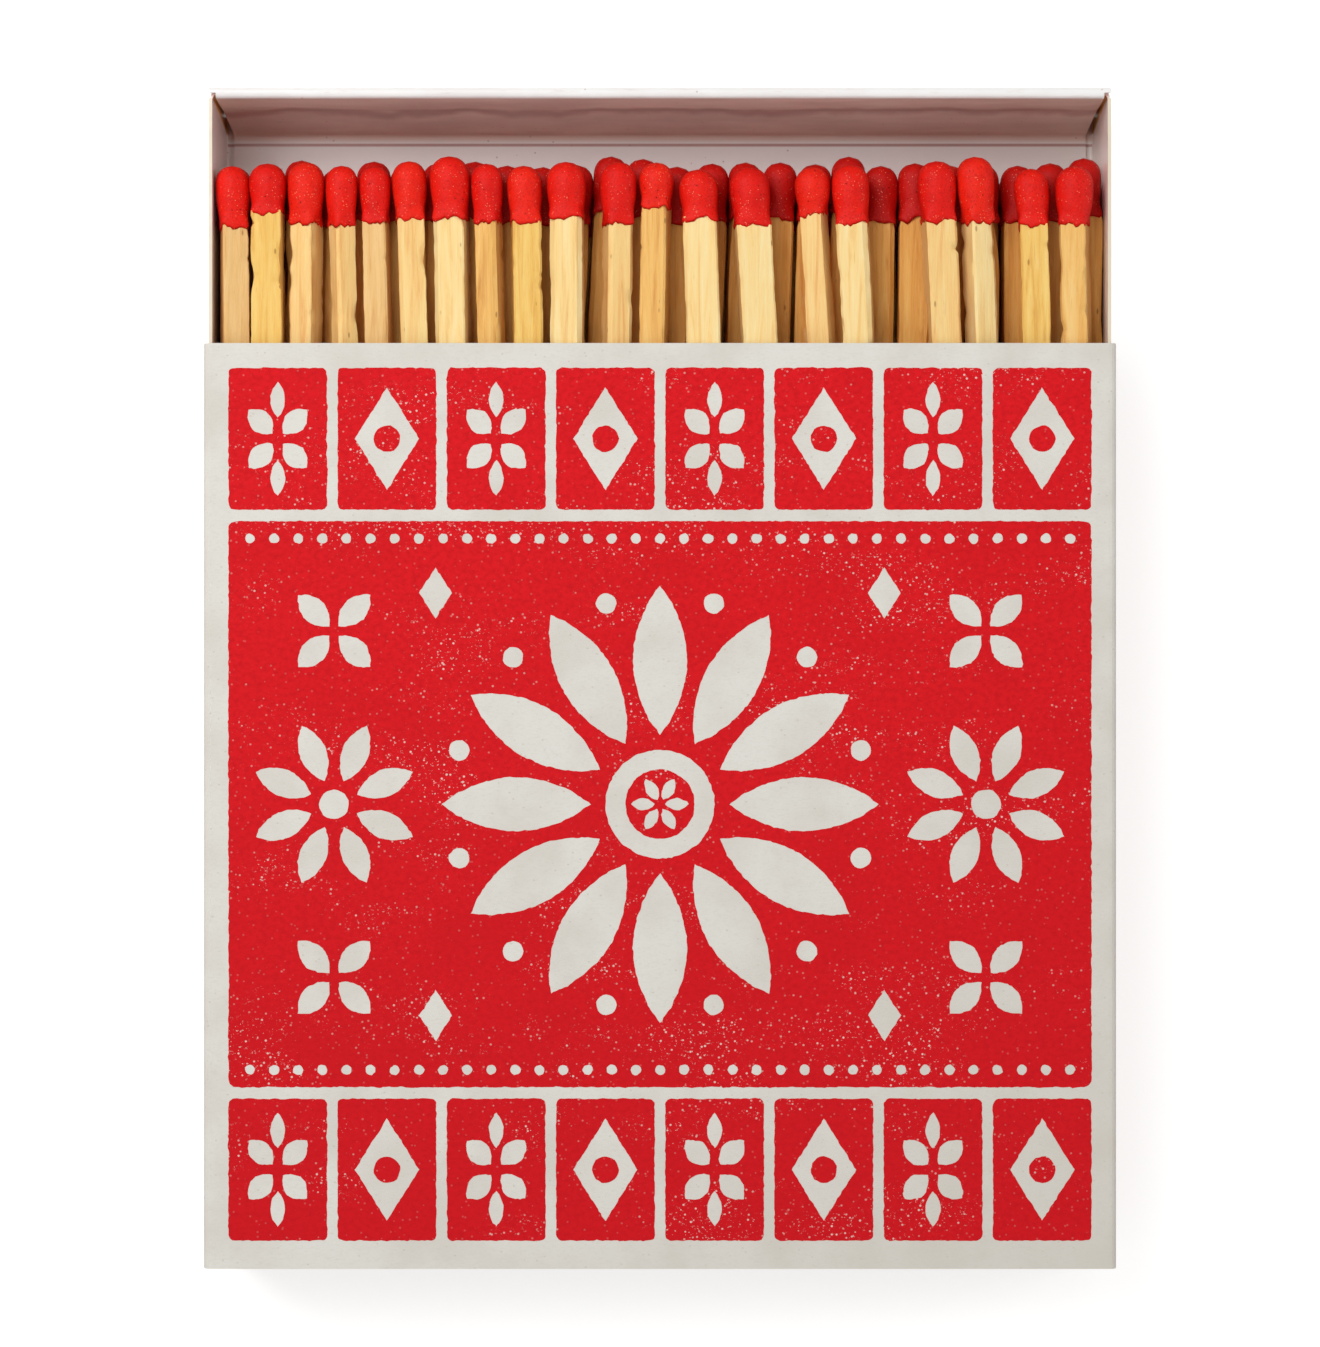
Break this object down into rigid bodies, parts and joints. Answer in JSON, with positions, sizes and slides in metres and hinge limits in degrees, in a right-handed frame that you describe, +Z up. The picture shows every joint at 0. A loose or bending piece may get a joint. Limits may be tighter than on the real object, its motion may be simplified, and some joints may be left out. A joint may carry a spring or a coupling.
{
  "type": "matchbox",
  "caption": "Large flat slide matchbox: printed card sleeve with striking sides, folded card tray pulled part-way out, filled with layers of long red-headed wooden matches.",
  "frame": {"origin": "centre of the sleeve's underside, on the surface that the box lies on", "axes": "+X along the width, +Y the way the tray is pulled out (head end), +Z up through the thickness"},
  "size_m": [0.1108, 0.1433, 0.0202],
  "materials": {
    "printed_card": "uncoated off-white card printed in red",
    "tray_board": "smooth white card, slightly glossy inside",
    "splint_wood": "split pale wood",
    "match_head": "satin red match composition",
    "striking_coat": "rough red-brown striking coat"
  },
  "bodies": {
    "sleeve": {"sleeve": "printed_card", "striker_left": "striking_coat", "striker_right": "striking_coat"},
    "tray": {"tray": "tray_board", "matches_layer_1": "splint_wood", "matches_layer_2": "splint_wood", "matches_layer_3": "splint_wood", "match_01_stick": "splint_wood", "match_02_stick": "splint_wood", "match_03_stick": "splint_wood", "match_04_stick": "splint_wood", "match_05_stick": "splint_wood", "match_06_stick": "splint_wood", "match_07_stick": "splint_wood", "match_08_stick": "splint_wood", "match_09_stick": "splint_wood", "match_10_stick": "splint_wood", "match_11_stick": "splint_wood", "match_12_stick": "splint_wood", "match_13_stick": "splint_wood", "match_14_stick": "splint_wood", "match_15_stick": "splint_wood", "match_16_stick": "splint_wood", "match_17_stick": "splint_wood", "match_18_stick": "splint_wood", "match_19_stick": "splint_wood", "match_20_stick": "splint_wood", "match_01_head": "match_head", "match_02_head": "match_head", "match_03_head": "match_head", "match_04_head": "match_head", "match_05_head": "match_head", "match_06_head": "match_head", "match_07_head": "match_head", "match_08_head": "match_head", "match_09_head": "match_head", "match_10_head": "match_head", "match_11_head": "match_head", "match_12_head": "match_head", "match_13_head": "match_head", "match_14_head": "match_head", "match_15_head": "match_head", "match_16_head": "match_head", "match_17_head": "match_head", "match_18_head": "match_head", "match_19_head": "match_head", "match_20_head": "match_head"}
  },
  "joints": [
    {"name": "tray_slide", "type": "slide", "parent": "sleeve", "child": "tray", "axis": [0, 1, 0], "range_m": [-0.144, 0.083]}
  ]
}
